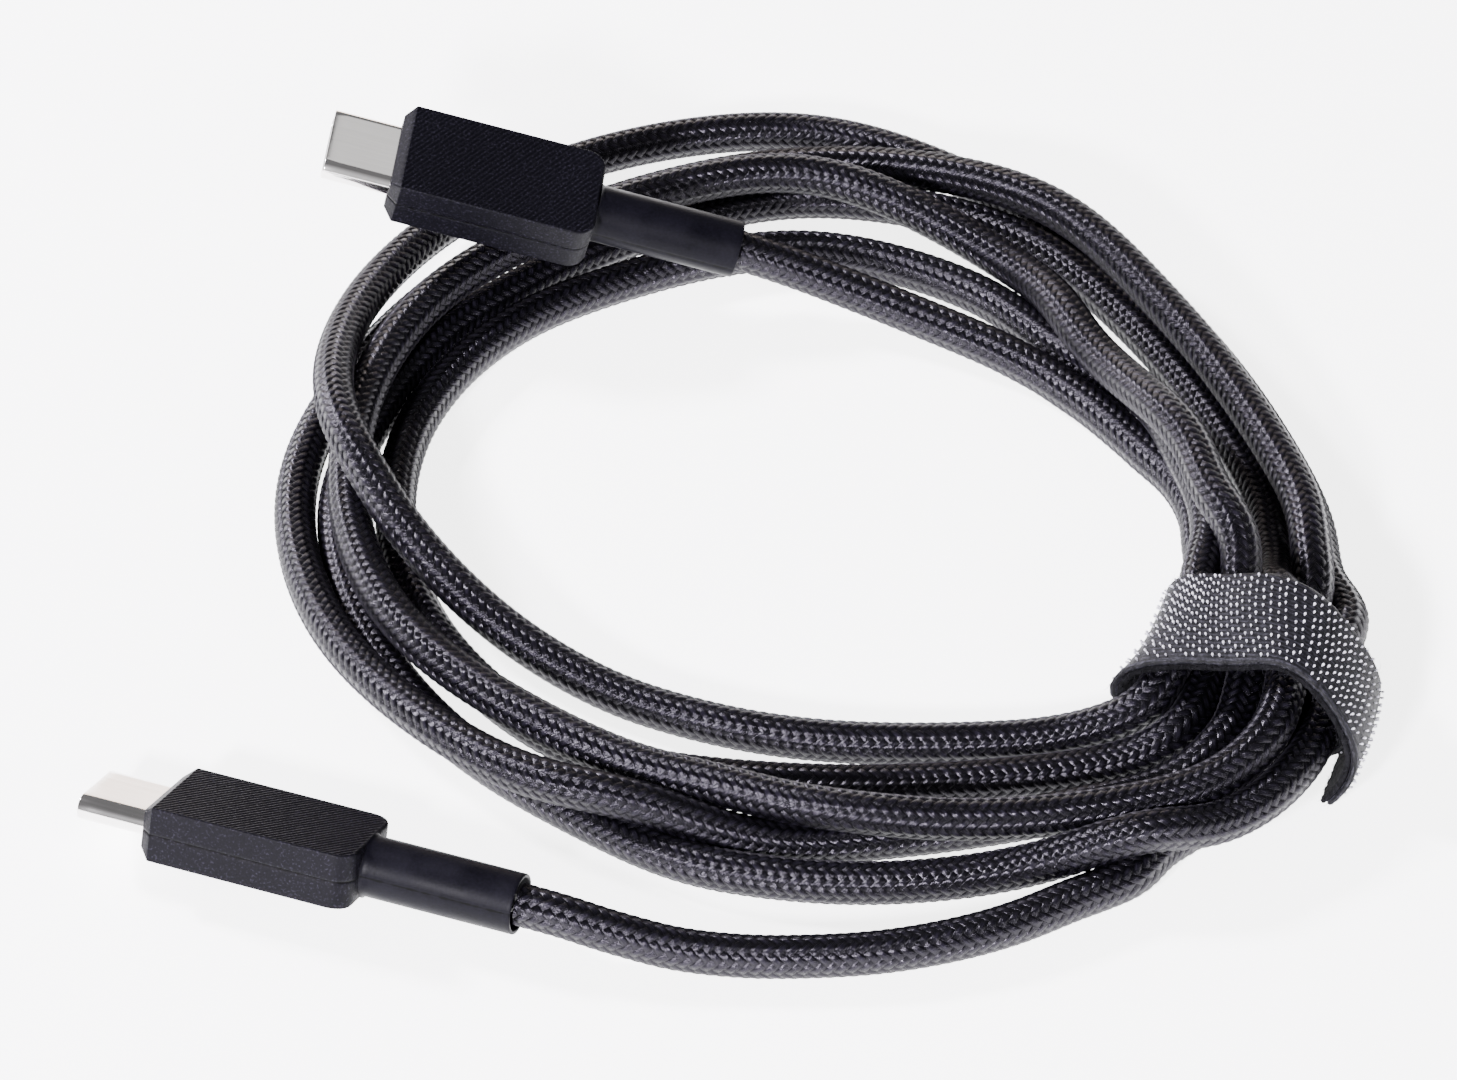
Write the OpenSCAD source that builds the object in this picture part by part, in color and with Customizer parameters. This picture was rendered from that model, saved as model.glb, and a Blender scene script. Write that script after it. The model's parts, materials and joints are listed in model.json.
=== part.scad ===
// Braided charging cable with a plug at each end, wound by hand into a flat coil
// and held at its right side by a hook-and-loop tie.
// Frame: millimetres, +Z up, the surface it lies on is z = 0, and the origin is on that
// surface under the middle of the part. +X runs across the coil to the tie, +Y away from
// the side where plug 1 lies.

/* [Cable] */
// Outer diameter of the braided cable
cable_d = 4.0; // [3.6:0.1:4.2]
// Diameter of the jacketed core under the braid
core_d = 2.6; // [2.2:0.1:2.8]

/* [Plug housing] */
// Width of the moulded plug housing
housing_w = 10.85; // [10.6:0.05:11.6]
// Thickness of the moulded plug housing
housing_t = 5.3; // [5.2:0.05:6]
// Length of the moulded plug housing
housing_l = 20.2; // [19.8:0.1:23]
// Radius of the two rear corners, seen from above
rear_corner_r = 2; // [1:0.1:2.4]
// Length of the bevel round the front face
front_bevel = 1; // [0.6:0.1:1.4]
// Radius of the long edges
long_edge_r = 0.4; // [0.3:0.05:0.6]

/* [Boot] */
// Diameter of the straight boot behind the housing
boot_d = 5.6; // [5.4:0.1:6.4]
// Length of the boot outside the housing
boot_l = 14.4; // [12:0.1:18]
// Depth of the recess in the boot's mouth
mouth_depth = 1.2; // [1:0.1:2]

/* [Steel shell] */
// Width of the plug's steel shell
shell_w = 8.25; // [8.2:0.01:8.3]
// Thickness of the plug's steel shell
shell_t = 2.4; // [2.35:0.01:2.45]
// Length of the shell in front of the housing
shell_out = 6.65; // [6.5:0.05:6.8]
// Thickness of the steel
shell_wall = 0.3; // [0.25:0.01:0.35]

/* [Tie] */
// Width of the hook-and-loop tie
tie_w = 12; // [10:0.5:14]
// Thickness of each of its two layers
tie_layer = 0.7; // [0.6:0.05:0.8]
// Width across the wrap, outside
tie_across = 22.4; // [22:0.2:24]
// Height of the wrap, outside
tie_high = 11.2; // [10.8:0.2:13]
// Radius of the wrap's outer corners
tie_corner_r = 3.6; // [3:0.1:4]

/* [Coil] */
// Height of the bottom layer of turns
coil_low_h = 4; // [3.6:0.1:4.4]
// Height of the whole coil
coil_h = 8; // [7:0.1:8.4]

/* [Hidden] */
CAPS = ["steel_shell", "insulator", "contacts_upper", "contacts_lower", "latch_plate",
        "ground_springs", "circuit_board", "marker_chip", "capacitors", "shield_upper",
        "shield_lower", "wires", "cable_crimp", "cable_end", "inner_mould", "housing", "boot"];

$fn = 48;
cable_r = cable_d / 2;
eps = 0.01;

// Where each plug lies: the middle of the boot's mouth, then roll, pitch and heading.
mouths = [[-20.3, -54.3, 4.4], [-0.9, 33.6, 7]];
turns = [[22, 0, 160], [-9, -14.7, 175]];

// Stations along the plug, from the boot's mouth at 0 towards the tip.
housing_x0 = boot_l;
housing_x1 = boot_l + housing_l;
tip_x = housing_x1 + shell_out;
wall_end = 1.2;      // rear and front walls of the housing
wall_side = 0.75;
wall_top = 0.65;
cavity_x0 = housing_x0 + wall_end;
cavity_x1 = housing_x1 - wall_end;
cavity_w = housing_w - 2 * wall_side;
cavity_t = housing_t - 2 * wall_top;
shell_in = 6.6;      // length of the shell inside the housing
shell_x0 = housing_x1 - shell_in;
stem_r = 2.4;        // stem of the boot through the housing's rear wall
mouth_r = 2.45;
clear = 0.05;

// Board, cans and cable end inside the housing.
board_x0 = shell_x0 - 7.6;
board_x1 = shell_x0 + 0.4;
board_w = 7.4;
board_t = 0.6;
can_x0 = shell_x0 - 9.4;
can_w = 8.4;
can_t = 3.1;
can_wall = 0.2;
braid_end_x = cavity_x0 + 0.3;
core_end_x = can_x0 - 0.2;
core_r = core_d / 2;

// Contacts: twelve to a side, half a millimetre apart.
contact_n = 12;
contact_pitch = 0.5;
contact_w = 0.25;
contact_t = 0.12;
slot_w = 6.6;
slot_t = 1.24;

module place_plug(n) {
    translate(mouths[n - 1]) rotate(turns[n - 1]) children();
}

// Extrude a profile drawn across the plug (width, thickness) from x0 to x1 along it.
module along(x0, x1) {
    translate([x0, 0, 0]) rotate([90, 0, 90]) linear_extrude(x1 - x0) children();
}

// Extrude a profile drawn along the plug (length, thickness) across the width w.
module across(w) {
    rotate([90, 0, 0]) linear_extrude(w, center = true) children();
}

module box_along(x0, x1, w, t) {
    translate([x0, -w / 2, -t / 2]) cube([x1 - x0, w, t]);
}

module rod(x0, x1, r) {
    translate([x0, 0, 0]) rotate([0, 90, 0]) cylinder(h = x1 - x0, r = r);
}

module stadium(w, t) {
    square([w - t, t], center = true);
    for (s = [-1, 1]) translate([s * (w - t) / 2, 0]) circle(d = t);
}

module rounded_rect(w, h, r) {
    square([w - 2 * r, h], center = true);
    square([w, h - 2 * r], center = true);
    for (sx = [-1, 1]) for (sy = [-1, 1])
        translate([sx * (w / 2 - r), sy * (h / 2 - r)]) circle(r = r);
}

// ---- Plug, outside ----

module steel_shell() color("silver") along(shell_x0, tip_x) difference() {
    stadium(shell_w, shell_t);
    stadium(shell_w - 2 * shell_wall, shell_t - 2 * shell_wall);
}

// Outline of the housing from above: bevelled front corners, round rear corners.
module housing_plan() {
    half = housing_w / 2;
    polygon([[housing_x0 + rear_corner_r, -half], [housing_x1 - front_bevel, -half],
             [housing_x1, -half + 0.9 * front_bevel], [housing_x1, half - 0.9 * front_bevel],
             [housing_x1 - front_bevel, half], [housing_x0 + rear_corner_r, half]]);
    translate([housing_x0, -half + rear_corner_r])
        square([rear_corner_r, housing_w - 2 * rear_corner_r]);
    for (s = [-1, 1])
        translate([housing_x0 + rear_corner_r, s * (half - rear_corner_r)]) circle(r = rear_corner_r);
}

// Outline of the housing from the side: bevelled at the front, eased at the rear.
module housing_side() {
    half = housing_t / 2;
    ease = 0.35;
    polygon([[housing_x0, -half + ease], [housing_x0 + ease, -half], [housing_x1 - front_bevel, -half],
             [housing_x1, -half + 0.8 * front_bevel], [housing_x1, half - 0.8 * front_bevel],
             [housing_x1 - front_bevel, half], [housing_x0 + ease, half], [housing_x0, half - ease]]);
}

module housing() color("#2b2a2e") difference() {
    intersection() {
        along(housing_x0, housing_x1) rounded_rect(housing_w, housing_t, long_edge_r);
        linear_extrude(housing_t + 1, center = true) housing_plan();
        across(housing_w + 1) housing_side();
    }
    box_along(cavity_x0, cavity_x1, cavity_w, cavity_t);
    along(cavity_x1 - 1, housing_x1 + 1) stadium(shell_w + 2 * clear, shell_t + 2 * clear);
    rod(housing_x0 - 1, cavity_x0 + 1, stem_r + clear);
}

module boot() color("#29282c") difference() {
    union() {
        rod(0, housing_x0, boot_d / 2);
        rod(housing_x0 - eps, cavity_x0, stem_r);
    }
    rod(-1, cavity_x0 + 1, cable_r + clear);
    rod(-1, mouth_depth, mouth_r);
}

// ---- Plug, inside ----

module insulator() color("#1c1c1e") {
    x0 = shell_x0 + 0.9;
    x1 = tip_x - 0.3;
    window = [3.4, 5.4, 3];
    difference() {
        along(x0, x1) stadium(shell_w - 2 * shell_wall - 2 * clear, shell_t - 2 * shell_wall - 2 * clear);
        box_along(x0 - 1, x1 + 1, slot_w, slot_t);
        translate([tip_x - 4.6, -window[1] / 2, -window[2] / 2]) cube(window);
    }
}

// One contact beam, from its solder foot on the board to its sprung tip.
module contact_profile() {
    foot_x = board_x1 - 1.6;
    low = board_t / 2;
    high = slot_t / 2 - contact_t;
    bend_x = shell_x0 + 0.9;
    tip = tip_x - 5.2;
    polygon([[foot_x, low], [bend_x - 0.4, low], [bend_x + 0.3, high], [tip - 1.2, high],
             [tip - 0.4, high - 0.14], [tip, high - 0.06], [tip, high + 0.06],
             [tip - 0.4, high - 0.02], [tip - 1.2, high + contact_t],
             [bend_x + 0.2, high + contact_t], [bend_x - 0.5, low + contact_t],
             [foot_x, low + contact_t]]);
}

module contact_row() color("#d6a84a")
    for (i = [0:contact_n - 1])
        translate([0, (i - (contact_n - 1) / 2) * contact_pitch, 0]) across(contact_w) contact_profile();

module latch_plate() color("#b9bcc2") {
    x0 = board_x1 + 0.1;
    t = 0.15;
    plate_w = 6.4;
    arm_w = 0.25;
    arm_end = tip_x - 1.9;
    plate_end = tip_x - 7.4;
    box_along(x0, plate_end, plate_w, t);
    for (s = [-1, 1]) {
        translate([plate_end - eps, s * (plate_w - arm_w) / 2 - arm_w / 2, -t / 2])
            cube([arm_end - plate_end, arm_w, t]);
        translate([arm_end - 0.6, s * (plate_w / 2 - 0.3) - 0.3, -t / 2]) cube([0.6, 0.6, t]);
    }
}

module ground_springs() color("#c4c7cc")
    for (s = [-1, 1]) translate([0, 0, s * 0.75]) difference() {
        box_along(tip_x - 4.5, tip_x - 1.3, 5.2, 0.1);
        for (i = [-1, 1]) translate([tip_x - 3.9, i * 0.9 - 0.15, -1]) cube([2.0, 0.3, 2]);
    }

module circuit_board() color("#1f5b3a") box_along(board_x0, board_x1, board_w, board_t);

module marker_chip() color("#17171a")
    translate([board_x0 + 2.6, -1.2, board_t / 2]) cube([2, 2.4, 0.55]);

module capacitors() color("#b08d5e")
    for (y = [-2.9, -2.1, 1.9, 2.7]) translate([board_x0 + 2.8, y, board_t / 2]) cube([1, 0.5, 0.5]);

// Half of the steel can over the board; s is 1 above the board and -1 below it.
module shield_half(s) color("#a9adb3") intersection() {
    difference() {
        box_along(can_x0, shell_x0 - clear, can_w, can_t);
        box_along(can_x0 - 1, shell_x0 + 1, can_w - 2 * can_wall, can_t - 2 * can_wall);
    }
    translate([can_x0 - 1, -can_w, s > 0 ? eps : -can_t]) cube([30, 2 * can_w, can_t - eps]);
}

// Conductors fan out from the core to blocks of solder at the back of the board.
module wires() {
    radii = [0.3, 0.24, 0.24, 0.24, 0.3];
    starts = [-1.12, -0.54, 0, 0.54, 1.12];
    tints = ["#b3202a", "#e8e8e6", "#2f8f4e", "#2c5fb0", "#202022"];
    solder = [1.2, 0.9, 0.6];
    land_x = board_x0 + 0.5;
    for (i = [0:4]) color(tints[i]) {
        y1 = (i - 2) * 1.25;
        run = [land_x - core_end_x, y1 - starts[i], board_t / 2 + radii[i] + 0.1];
        translate([core_end_x, starts[i], 0])
            rotate([0, acos(run[2] / norm(run)), atan2(run[1], run[0])])
            cylinder(h = norm(run), r = radii[i]);
        translate([board_x0 + 0.1, y1 - solder[1] / 2, board_t / 2 + eps]) cube(solder);
    }
}

module cable_crimp() color("#9da1a7") difference() {
    rod(braid_end_x + 0.4, core_end_x - 0.3, core_r + 0.4);
    rod(braid_end_x, core_end_x, core_r + 0.04);
}

// Braid and core inside the boot. Its end is round and stands back from the boot's mouth,
// so that it can turn against the free cable.
module cable_end() color("#3a393e") {
    end_x = cable_r + 0.5;
    rod(end_x, braid_end_x, cable_r);
    translate([end_x, 0, 0]) sphere(r = cable_r);
    rod(braid_end_x - eps, core_end_x, core_r);
}

module inner_mould() color("#55545a") difference() {
    box_along(cavity_x0 + clear, cavity_x1 - clear, cavity_w - 2 * clear, cavity_t - 2 * clear);
    along(shell_x0 - clear, cavity_x1 + 1) stadium(shell_w + 2 * clear, shell_t + 2 * clear);
    box_along(can_x0 - clear, shell_x0 + eps, can_w + 2 * clear, can_t + 2 * clear);
    rod(cavity_x0 - 1, braid_end_x + clear, cable_r + clear);
    rod(cavity_x0, can_x0 + 1, core_r + 0.45);
}

// ---- Coil ----

coil_centre = [5.7, 4.5];
// Radii of the wound bundle every 30 degrees from +X: all turns, then the upper turns only.
low_in = [33.5, 30, 31, 33, 33, 36, 37, 36, 32, 33.5, 39.5, 41];
low_out = [48.5, 45.5, 48.5, 56, 55.5, 51, 50.5, 51, 52.5, 55.5, 61, 57];
top_in = [33.5, 30.5, 35.5, 40, 39.5, 41, 41.5, 39, 42.5, 45, 50, 42];
top_out = [46.5, 43, 46.5, 46, 44, 50, 49, 50.5, 52, 50.5, 59.5, 56];
outline_step = 7.5;

// Smooth closed curve through twelve radii; a is in degrees.
function radius_at(radii, a) =
    let(f = a / 30, i = floor(f), t = f - i,
        p = [for (k = [-1:2]) radii[(i + k + 12) % 12]])
    p[1] + t / 2 * (p[2] - p[0] + t * (2 * p[0] - 5 * p[1] + 4 * p[2] - p[3]
        + t * (3 * (p[1] - p[2]) + p[3] - p[0])));
function outline(radii) =
    [for (a = [0:outline_step:360 - outline_step])
        coil_centre + radius_at(radii, a) * [cos(a), sin(a)]];

module hoop(inner, outer, h) linear_extrude(h) difference() {
    polygon(outline(outer));
    polygon(outline(inner));
}

// The tie squeezes the bundle and passes under it, so the coil is narrowed and raised there.
module throat() {
    reach = tie_w + 8;
    gap = 0.4;
    inside_w = tie_across - 4 * tie_layer - 2 * gap;
    inside_h = tie_high - 4 * tie_layer - 2 * gap;
    tie_frame() translate([0, reach / 2, tie_high / 2]) rotate([90, 0, 0]) linear_extrude(reach)
        difference() {
            square([50, tie_high + 2], center = true);
            rounded_rect(inside_w, inside_h, tie_corner_r - 2 * tie_layer - gap);
        }
}

module coil() color("#3a393e") difference() {
    union() {
        hoop(low_in, low_out, coil_low_h);
        hoop(top_in, top_out, coil_h);
    }
    throat();
}

// ---- Free stretches of the cable ----

tail_1_route = [[-20.3, -54.3, 4.4], [-16.5, -55.7, 4.3], [-11.3, -57.1, 3.4], [-5.3, -58.1, 2.4],
                [2.7, -58.5, 2], [12.7, -57.7, 2], [22.7, -54.7, 2], [28.7, -51.5, 2]];
tail_2_route = [[38.7, 10, 2], [34.7, 15.5, 2], [29.7, 19.7, 2.1], [24.2, 23.7, 2.6],
                [17.7, 27.3, 3.2], [11.2, 30.3, 4.1], [4.9, 32.5, 5.4], [-0.9, 33.6, 7]];
tail_sides = 10;

function unit(v) = v / norm(v);
function heading(route, i) =
    unit(route[min(i + 1, len(route) - 1)] - route[max(i - 1, 0)]);
function ring(route, i) =
    let(t = heading(route, i), side = unit(cross(t, [0, 0, 1])), up = cross(side, t))
    [for (k = [0:tail_sides - 1])
        let(a = 360 * k / tail_sides) route[i] + cable_r * (cos(a) * side + sin(a) * up)];

module tail(route) color("#3a393e") {
    n = tail_sides;
    last = len(route) - 1;
    points = [for (i = [0:last]) for (p = ring(route, i)) p];
    sides = [for (i = [0:last - 1]) for (k = [0:n - 1])
        [i * n + k, i * n + (k + 1) % n, (i + 1) * n + (k + 1) % n, (i + 1) * n + k]];
    near_cap = [for (k = [n - 1:-1:0]) k];
    far_cap = [for (k = [0:n - 1]) last * n + k];
    polyhedron(points, concat(sides, [near_cap, far_cap]));
}

// ---- Tie ----

tie_centre = [46.9, -22.8];
tie_heading = -18;
end_gap = 0.3;            // between the wrap and the end that hangs over it
end_top = 7;              // height of the line it peels from
end_bottom = 0.5;
end_shift = -2;           // the end slants towards the near side

module tie_frame() translate([tie_centre[0], tie_centre[1], 0]) rotate(tie_heading) children();

// One layer of the wrap; depth is how far it lies inside the outer face.
module wrap_layer(depth) tie_frame()
    translate([0, tie_w / 2, tie_high / 2]) rotate([90, 0, 0]) linear_extrude(tie_w) difference() {
        rounded_rect(tie_across - 2 * depth, tie_high - 2 * depth, tie_corner_r - depth);
        rounded_rect(tie_across - 2 * depth - 2 * tie_layer, tie_high - 2 * depth - 2 * tie_layer,
                     tie_corner_r - depth - tie_layer);
    }

module tie_end(offset_out) tie_frame()
    translate([tie_across / 2 + end_gap + offset_out, end_shift - tie_w / 2, end_bottom])
        cube([tie_layer, tie_w, end_top - end_bottom]);

module tie_hook_layer() color("#6e6d72") wrap_layer(0);
module tie_loop_layer() color("#1d1d1f") wrap_layer(tie_layer);
module tie_end_loops() color("#1d1d1f") tie_end(0);
module tie_end_hooks() color("#6e6d72") tie_end(tie_layer);

// ---- Nodes ----

coil();
tail(tail_1_route);  // tail_1
tail(tail_2_route);  // tail_2
tie_hook_layer();
tie_loop_layer();
tie_end_hooks();
tie_end_loops();
for (n = [1, 2]) {
    place_plug(n) steel_shell();
    place_plug(n) insulator();
    place_plug(n) contact_row();
    place_plug(n) mirror([0, 0, 1]) contact_row();
    place_plug(n) latch_plate();
    place_plug(n) ground_springs();
    place_plug(n) circuit_board();
    place_plug(n) marker_chip();
    place_plug(n) capacitors();
    place_plug(n) shield_half(1);
    place_plug(n) shield_half(-1);
    place_plug(n) wires();
    place_plug(n) cable_crimp();
    place_plug(n) cable_end();
    place_plug(n) inner_mould();
    place_plug(n) housing();
    place_plug(n) boot();
}
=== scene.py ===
"""Looks of a braided charging cable: its lay, its braid, its plugs and its hook-and-loop tie.

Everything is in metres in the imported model's frame. Lengths that read better in
millimetres are written as a number times MM.
"""

import json
import math

import bpy
import numpy as np
from mathutils import Euler, Matrix, Vector


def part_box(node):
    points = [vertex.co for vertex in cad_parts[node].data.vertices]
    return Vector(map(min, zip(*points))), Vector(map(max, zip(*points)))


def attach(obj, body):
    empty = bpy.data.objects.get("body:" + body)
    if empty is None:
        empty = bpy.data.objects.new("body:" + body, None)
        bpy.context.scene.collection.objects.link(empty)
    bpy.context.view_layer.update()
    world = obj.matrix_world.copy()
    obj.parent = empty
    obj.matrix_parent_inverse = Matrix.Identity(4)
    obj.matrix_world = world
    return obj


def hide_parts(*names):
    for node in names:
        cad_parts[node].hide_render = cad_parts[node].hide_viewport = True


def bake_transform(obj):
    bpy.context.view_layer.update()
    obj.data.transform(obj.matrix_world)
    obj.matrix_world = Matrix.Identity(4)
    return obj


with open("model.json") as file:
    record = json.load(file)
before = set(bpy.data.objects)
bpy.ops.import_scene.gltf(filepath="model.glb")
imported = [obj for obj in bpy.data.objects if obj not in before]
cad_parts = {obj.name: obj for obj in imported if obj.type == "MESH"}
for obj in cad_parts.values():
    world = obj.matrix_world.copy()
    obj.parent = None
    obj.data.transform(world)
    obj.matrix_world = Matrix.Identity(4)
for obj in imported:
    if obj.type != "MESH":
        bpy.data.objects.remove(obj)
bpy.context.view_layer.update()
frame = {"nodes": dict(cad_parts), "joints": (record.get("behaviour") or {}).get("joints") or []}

MM = 0.001
JOINTS = {joint["name"]: joint for joint in frame["joints"]}

# ---------------------------------------------------------------- sizes

CABLE_R = 2.0 * MM
CORE_R = 1.7 * MM

# Plug stations along its own +X, from the boot's mouth towards the tip.
BOOT_L = 14.4 * MM
BOOT_R = 2.8 * MM
MOUTH_R = 2.45 * MM
MOUTH_DEPTH = 1.2 * MM
BORE_R = 2.05 * MM
HOUSING_L = 20.2 * MM
HOUSING_W = 10.85 * MM
HOUSING_T = 5.3 * MM
FRONT_BEVEL = 1.0 * MM
REAR_CORNER_R = 2.0 * MM
SHELL_W = 8.25 * MM
SHELL_T = 2.4 * MM
SHELL_OUT = 6.65 * MM
SHELL_IN = 6.6 * MM
SHELL_WALL = 0.3 * MM
HOUSING_X1 = BOOT_L + HOUSING_L
TIP_X = HOUSING_X1 + SHELL_OUT
PLUG_TURNS = {1: (22, 0, 160), 2: (-9, -14.7, 175)}

TIE_W = 11.2 * MM
TIE_LAYER = 0.7 * MM

# ---------------------------------------------------------------- camera


def make_camera():
    """Looks down at the coil from 42 degrees above the surface it lies on."""
    elevation = math.radians(42)
    distance = 0.692
    target = Vector((-0.0018, -0.0010, 0))
    data = bpy.data.cameras.new("camera")
    data.lens = 180.5
    data.sensor_width = 36
    data.clip_start = 0.01
    camera = bpy.data.objects.new("camera", data)
    bpy.context.scene.collection.objects.link(camera)
    away = Vector((0, -math.cos(elevation), math.sin(elevation)))
    camera.location = target + distance * away
    camera.rotation_euler = (-away).to_track_quat("-Z", "Y").to_euler()
    bpy.context.scene.camera = camera


make_camera()

# ---------------------------------------------------------------- the cable's route

TAIL_1_ROUTE = [
    (-0.0203, -0.0543, 0.0044), (-0.0165, -0.0557, 0.0043), (-0.0113, -0.0571, 0.0034),
    (-0.0053, -0.0581, 0.0024), (0.0027, -0.0585, 0.0020), (0.0127, -0.0577, 0.0020),
    (0.0227, -0.0547, 0.0020), (0.0317, -0.0494, 0.0020), (0.0397, -0.0427, 0.0021),
    (0.0462, -0.0343, 0.0028),
]
TAIL_2_ROUTE = [
    (0.0423, 0.0015, 0.0020), (0.0387, 0.0100, 0.0020), (0.0347, 0.0155, 0.0020),
    (0.0297, 0.0197, 0.0021), (0.0242, 0.0237, 0.0026), (0.0177, 0.0273, 0.0032),
    (0.0112, 0.0303, 0.0041), (0.0049, 0.0325, 0.0054), (-0.0009, 0.0336, 0.0070),
]

COIL_CENTRE = (0.0057, 0.0045)
STATIONS = [330, 345, 0, 30, 60, 90, 120, 150, 180, 210, 240, 270, 300, 315]
# Each turn in the order it is wound: radius from the coil's centre and height, in
# millimetres, at each of the stations above.
TURNS = [
    [(51, 4), (48.5, 6), (44.5, 6), (41, 6), (44.5, 6), (47.5, 2.5), (46, 2), (46, 2),
     (48.5, 2), (49.5, 4), (50.5, 5.5), (48.5, 2.5), (50.5, 2), (53, 2.5)],
    [(47, 6), (39, 9.5), (35, 9), (31.5, 6), (37, 4), (42, 6), (41.5, 6), (43, 6),
     (43.5, 5.5), (44.5, 6), (44.5, 6), (48, 5), (55, 5.5), (57.5, 6.5)],
    [(51, 7), (45, 3), (42.5, 2), (39.5, 2), (42.5, 2), (43, 2), (40.5, 2), (41, 2),
     (44, 2), (46.5, 2), (49, 2), (53.5, 2), (59, 4), (61, 5)],
    [(55.5, 4), (50, 2), (46.5, 2), (43.5, 2), (46.5, 2), (53.5, 2), (53.5, 2), (49, 5.5),
     (44, 9.5), (37, 5), (34, 2), (35, 2), (40.5, 2), (45, 4.5)],
    [(42.5, 6.5), (39, 6), (35.5, 5.5), (32, 2), (33, 2), (35, 2), (35, 2), (38, 2),
     (39, 2), (40.5, 2), (42, 2), (41, 2), (45.5, 2), (49, 3)],
]
LAST_TURN = [(330, 43.5, 3.5), (345, 38.5, 2)]
SUBSTEPS = 10


def on_coil(angle, radius, height):
    """A place of the coil from degrees round it, and a radius and a height in millimetres."""
    a = math.radians(angle)
    return (
        COIL_CENTRE[0] + radius * MM * math.cos(a),
        COIL_CENTRE[1] + radius * MM * math.sin(a),
        height * MM,
    )


def spline(points, steps):
    """Catmull-Rom curve through the points, with so many steps between each two."""
    p = np.array(points, float)
    p = np.vstack([2 * p[0] - p[1], p, 2 * p[-1] - p[-2]])
    out = []
    for i in range(1, len(p) - 2):
        a, b, c, d = p[i - 1 : i + 3]
        for t in np.arange(steps) / steps:
            line = 2 * b + (c - a) * t
            curve = (2 * a - 5 * b + 4 * c - d) * t**2 + (3 * b - a - 3 * c + d) * t**3
            out.append(0.5 * (line + curve))
    out.append(p[-2])
    return np.array(out)


def run_lengths(points):
    """The distance along the points, at each of them."""
    steps = np.linalg.norm(np.diff(points, axis=0), axis=1)
    return np.concatenate([[0], np.cumsum(steps)])


def tie_centre():
    """Middle of the tie; it sits this far nearer the camera than its CAD solid."""
    low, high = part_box("tie_hook_layer")
    return np.array((low + high) / 2) - 1.6 * MM * np.array(JOINTS["tie_slide"]["axis"])


def least_height(points):
    """Lowest the cable's middle can lie: on the surface, or on the tie where it passes over it."""
    away = np.linalg.norm(points[:, :2] - tie_centre()[:2], axis=1)
    ramp = np.clip((18 * MM - away) / (9 * MM), 0, 1)
    return CABLE_R + 2.15 * TIE_LAYER * ramp**2 * (3 - 2 * ramp)


def settle(route):
    """Pushes apart turns that would lie in each other, and keeps the cable smooth."""
    gap = 14 * MM
    held = 12
    rounds = 220
    points = route.copy()
    for _ in range(rounds):
        apart = points[:, None] - points[None]
        distance = np.linalg.norm(apart, axis=2) + 1e-9
        run = run_lengths(points)
        near = (np.abs(run[:, None] - run[None]) > gap) & (distance < 2 * CABLE_R)
        share = np.where(near, (2 * CABLE_R - distance) / distance / 2, 0)
        push = (apart * share[..., None]).sum(1)
        count = np.maximum(near.sum(1), 1)[:, None]
        points = points + 0.8 * push / count**0.7
        bend = np.zeros_like(points)
        bend[1:-1] = (points[:-2] + points[2:]) / 2 - points[1:-1]
        stiff = np.zeros_like(points)
        stiff[2:-2] = (bend[1:-3] + bend[3:-1]) / 2 - bend[2:-2]
        points = points - 0.3 * stiff + 0.02 * (route - points)
        points[:, 2] = np.maximum(points[:, 2], least_height(points))
        points[:held] = route[:held]
        points[-held:] = route[-held:]
    return points


def even_steps(points, step):
    """The curve again, with points the same distance apart and the run at each of them."""
    fine = spline(points, 8)
    run = run_lengths(fine)
    at = np.linspace(0, run[-1], int(round(run[-1] / step)) + 1)
    return np.stack([np.interp(at, run, fine[:, k]) for k in range(3)], 1), at


route = list(TAIL_1_ROUTE)
for turn in TURNS:
    route += [on_coil(angle, *place) for angle, place in zip(STATIONS, turn)]
route += [on_coil(*place) for place in LAST_TURN]
route += TAIL_2_ROUTE
centreline = settle(spline(route, SUBSTEPS))

# ---------------------------------------------------------------- mesh helpers


def new_object(name, vertices, faces):
    """A smooth-shaded mesh from plain lists of points and faces."""
    mesh = bpy.data.meshes.new(name)
    mesh.from_pydata([tuple(v) for v in vertices], [], faces)
    mesh.polygons.foreach_set("use_smooth", np.ones(len(mesh.polygons), bool))
    mesh.update()
    obj = bpy.data.objects.new(name, mesh)
    bpy.context.scene.collection.objects.link(obj)
    return obj


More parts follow.
